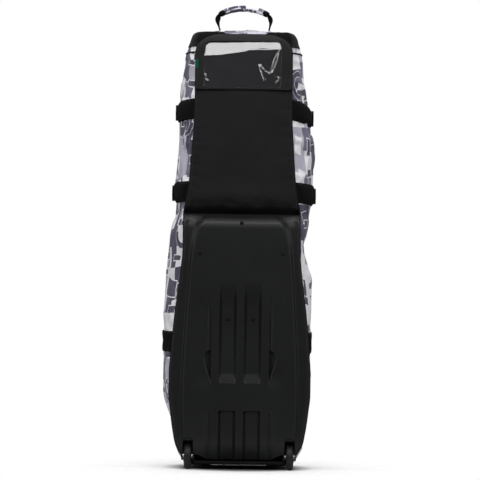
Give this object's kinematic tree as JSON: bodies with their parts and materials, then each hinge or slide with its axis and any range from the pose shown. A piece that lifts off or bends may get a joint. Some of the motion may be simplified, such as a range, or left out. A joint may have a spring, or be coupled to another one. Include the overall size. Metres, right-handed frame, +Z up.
{
  "type": "golf travel case",
  "caption": "Upright wheeled travel case for a golf bag: soft printed sides, hard moulded back shell, zipped front flap, side straps and a top carry handle.",
  "frame": {"origin": "on the floor, at the centre of the outline of the case as it stands upright", "axes": "+Z up, +Y out of the zipped front, wheels and moulded shell towards -Y, +X to the right when looking at the shell"},
  "size_m": [0.447, 0.3657, 1.3546],
  "materials": {
    "print_fabric": "woven polyester, printed",
    "black_fabric": "ballistic nylon weave, matt",
    "webbing": "woven polypropylene webbing",
    "shell": "moulded, fine grain, satin",
    "vinyl": "clear flexible PVC",
    "foam": "brushed lining over foam",
    "tyre": "cast urethane tread",
    "hub": "moulded nylon",
    "steel": "zinc plated",
    "buckle": "moulded acetal",
    "zipper": "black coil and painted slider"
  },
  "bodies": {
    "case": {"back_shell": "shell", "base_pan": "shell", "wheel_housing_left": "shell", "wheel_housing_right": "shell", "side_panel_left": "print_fabric", "side_panel_right": "print_fabric", "front_panel": "print_fabric", "top_panel": "print_fabric", "back_panel": "black_fabric", "corner_guard_left": "black_fabric", "corner_guard_right": "black_fabric", "id_pocket_frame": "black_fabric", "id_window": "vinyl", "head_pad": "foam", "inner_cinch_strap": "webbing", "rivet_top": "steel", "rivet_left_upper": "steel", "rivet_right_upper": "steel", "rivet_left_lower": "steel", "rivet_right_lower": "steel", "front_foot_left": "hub", "front_foot_right": "hub", "main_zipper_coil": "zipper", "wheel_axle_left": "steel", "strap_band_upper_left": "webbing", "strap_band_middle_left": "webbing", "strap_band_lower_left": "webbing", "strap_tail_upper_left": "webbing", "buckle_female_upper_left": "buckle", "strap_tail_middle_left": "webbing", "buckle_female_middle_left": "buckle", "wheel_axle_right": "steel", "strap_band_upper_right": "webbing", "strap_band_middle_right": "webbing", "strap_band_lower_right": "webbing", "strap_tail_upper_right": "webbing", "buckle_female_upper_right": "buckle", "strap_tail_middle_right": "webbing", "buckle_female_middle_right": "buckle"},
    "wheel_left": {"wheel_tyre_left": "tyre", "wheel_hub_left": "hub", "wheel_bearing_left": "steel"},
    "wheel_right": {"wheel_tyre_right": "tyre", "wheel_hub_right": "hub", "wheel_bearing_right": "steel"},
    "top_handle": {"handle_webbing": "webbing", "handle_grip": "print_fabric"},
    "flap": {"front_flap": "print_fabric", "flap_pocket": "black_fabric"},
    "zip_upper": {"zip_slider_upper": "zipper"},
    "zip_upper_pull": {"zip_pull_upper": "webbing"},
    "zip_lower": {"zip_slider_lower": "zipper"},
    "zip_lower_pull": {"zip_pull_lower": "webbing"},
    "pocket_zip": {"pocket_zip_slider": "zipper"},
    "pocket_pull": {"pocket_zip_pull": "webbing"},
    "grab_handle": {"foot_grab_handle": "webbing"},
    "buckle_upper_left": {"buckle_male_upper_left": "buckle"},
    "buckle_middle_left": {"buckle_male_middle_left": "buckle"},
    "buckle_upper_right": {"buckle_male_upper_right": "buckle"},
    "buckle_middle_right": {"buckle_male_middle_right": "buckle"}
  },
  "joints": [
    {"name": "wheel_spin_left", "type": "hinge", "parent": "case", "child": "wheel_left", "pos_m": [-0.148, -0.143, 0.038], "axis": [1, 0, 0], "continuous": true},
    {"name": "wheel_spin_right", "type": "hinge", "parent": "case", "child": "wheel_right", "pos_m": [0.148, -0.143, 0.038], "axis": [1, 0, 0], "continuous": true},
    {"name": "top_handle_fold", "type": "hinge", "parent": "case", "child": "top_handle", "pos_m": [0, 0, 1.282], "axis": [1, 0, 0], "range_deg": [-60, 60]},
    {"name": "flap_open", "type": "hinge", "parent": "case", "child": "flap", "pos_m": [0, 0.164, 0.3], "axis": [-1, 0, 0], "range_deg": [0, 150]},
    {"name": "zip_upper_slide", "type": "slide", "parent": "flap", "child": "zip_upper", "axis": [-0.0361, 0, 0.9993], "range_m": [0, 0.32]},
    {"name": "zip_upper_pull_swing", "type": "hinge", "parent": "zip_upper", "child": "zip_upper_pull", "pos_m": [0.13047, 0.17065, 0.7768], "axis": [0.9993, 0, 0.0361], "range_deg": [0, 130]},
    {"name": "zip_lower_slide", "type": "slide", "parent": "flap", "child": "zip_lower", "axis": [-0.0361, 0, 0.9993], "range_m": [-0.42, 0]},
    {"name": "zip_lower_pull_swing", "type": "hinge", "parent": "zip_lower", "child": "zip_lower_pull", "pos_m": [0.13141, 0.17065, 0.7508], "axis": [0.9993, 0, 0.0361], "range_deg": [0, 95]},
    {"name": "pocket_zip_slide", "type": "slide", "parent": "flap", "child": "pocket_zip", "axis": [0, 0, 1], "range_m": [-0.45, 0]},
    {"name": "pocket_pull_swing", "type": "hinge", "parent": "pocket_zip", "child": "pocket_pull", "pos_m": [-0.066, 0.17905, 0.9298], "axis": [1, 0, 0], "range_deg": [0, 130]},
    {"name": "buckle_upper_left_release", "type": "slide", "parent": "case", "child": "buckle_upper_left", "axis": [0, 1, 0], "range_m": [0, 0.024]},
    {"name": "buckle_upper_right_release", "type": "slide", "parent": "case", "child": "buckle_upper_right", "axis": [0, 1, 0], "range_m": [0, 0.024]},
    {"name": "buckle_middle_left_release", "type": "slide", "parent": "case", "child": "buckle_middle_left", "axis": [0, 1, 0], "range_m": [0, 0.024]},
    {"name": "buckle_middle_right_release", "type": "slide", "parent": "case", "child": "buckle_middle_right", "axis": [0, 1, 0], "range_m": [0, 0.024]},
    {"name": "grab_handle_swing", "type": "hinge", "parent": "case", "child": "grab_handle", "pos_m": [0, 0.1662, 0.207], "axis": [1, 0, 0], "range_deg": [0, 75]}
  ]
}
